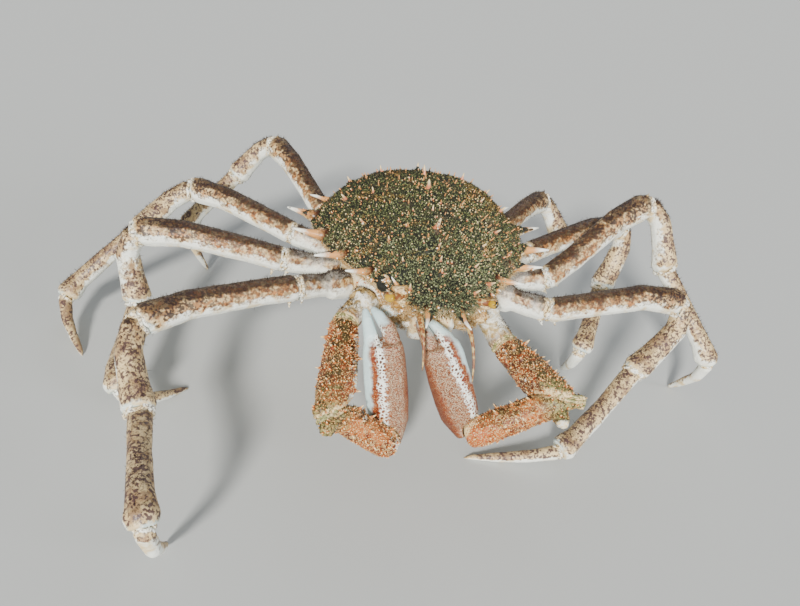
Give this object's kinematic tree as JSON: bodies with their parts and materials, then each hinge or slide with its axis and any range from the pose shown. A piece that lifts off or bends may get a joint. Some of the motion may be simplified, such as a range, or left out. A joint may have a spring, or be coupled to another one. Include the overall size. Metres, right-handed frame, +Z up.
{
  "type": "european spider crab",
  "caption": "Life-size still model of a european spider crab with a spiny pear-shaped shell, long jointed legs and folded slender claws, standing on its feet",
  "frame": {"origin": "bottom centre of the whole model's box, on the floor under the shell", "axes": "+Z up from the floor, the crab's face towards -Y, its left side towards +X"},
  "size_m": [0.4062, 0.3188, 0.132],
  "materials": {
    "shell": "rough olive-brown shell with short algae, pink-orange tubercles and cream spine tips",
    "under_shell": "cream and orange underside plates",
    "leg": "cream shell mottled orange-brown and purple-brown, satin",
    "claw": "rust-red shell with cream granules, satin",
    "eye": "glossy amber eye",
    "feeler": "orange-brown jointed feeler"
  },
  "bodies": {
    "root": {"carapace": "shell", "sternum": "under_shell", "abdomen": "under_shell", "maxilliped_r": "under_shell", "maxilliped_l": "under_shell", "eye_r": "eye", "eye_l": "eye", "antenna_r": "feeler", "antenna_l": "feeler", "claw_r_base": "claw", "claw_r_merus": "claw", "claw_r_carpus": "claw", "claw_r_palm": "claw", "claw_r_finger": "claw", "claw_l_base": "claw", "claw_l_merus": "claw", "claw_l_carpus": "claw", "claw_l_palm": "claw", "claw_l_finger": "claw", "leg_r1_base": "leg", "leg_r1_merus": "leg", "leg_r1_carpus": "leg", "leg_r1_propodus": "leg", "leg_r1_dactylus": "leg", "leg_r2_base": "leg", "leg_r2_merus": "leg", "leg_r2_carpus": "leg", "leg_r2_propodus": "leg", "leg_r2_dactylus": "leg", "leg_r3_base": "leg", "leg_r3_merus": "leg", "leg_r3_carpus": "leg", "leg_r3_propodus": "leg", "leg_r3_dactylus": "leg", "leg_r4_base": "leg", "leg_r4_merus": "leg", "leg_r4_carpus": "leg", "leg_r4_propodus": "leg", "leg_r4_dactylus": "leg", "leg_l1_base": "leg", "leg_l1_merus": "leg", "leg_l1_carpus": "leg", "leg_l1_propodus": "leg", "leg_l1_dactylus": "leg", "leg_l2_base": "leg", "leg_l2_merus": "leg", "leg_l2_carpus": "leg", "leg_l2_propodus": "leg", "leg_l2_dactylus": "leg", "leg_l3_base": "leg", "leg_l3_merus": "leg", "leg_l3_carpus": "leg", "leg_l3_propodus": "leg", "leg_l3_dactylus": "leg", "leg_l4_base": "leg", "leg_l4_merus": "leg", "leg_l4_carpus": "leg", "leg_l4_propodus": "leg", "leg_l4_dactylus": "leg"}
  },
  "joints": []
}
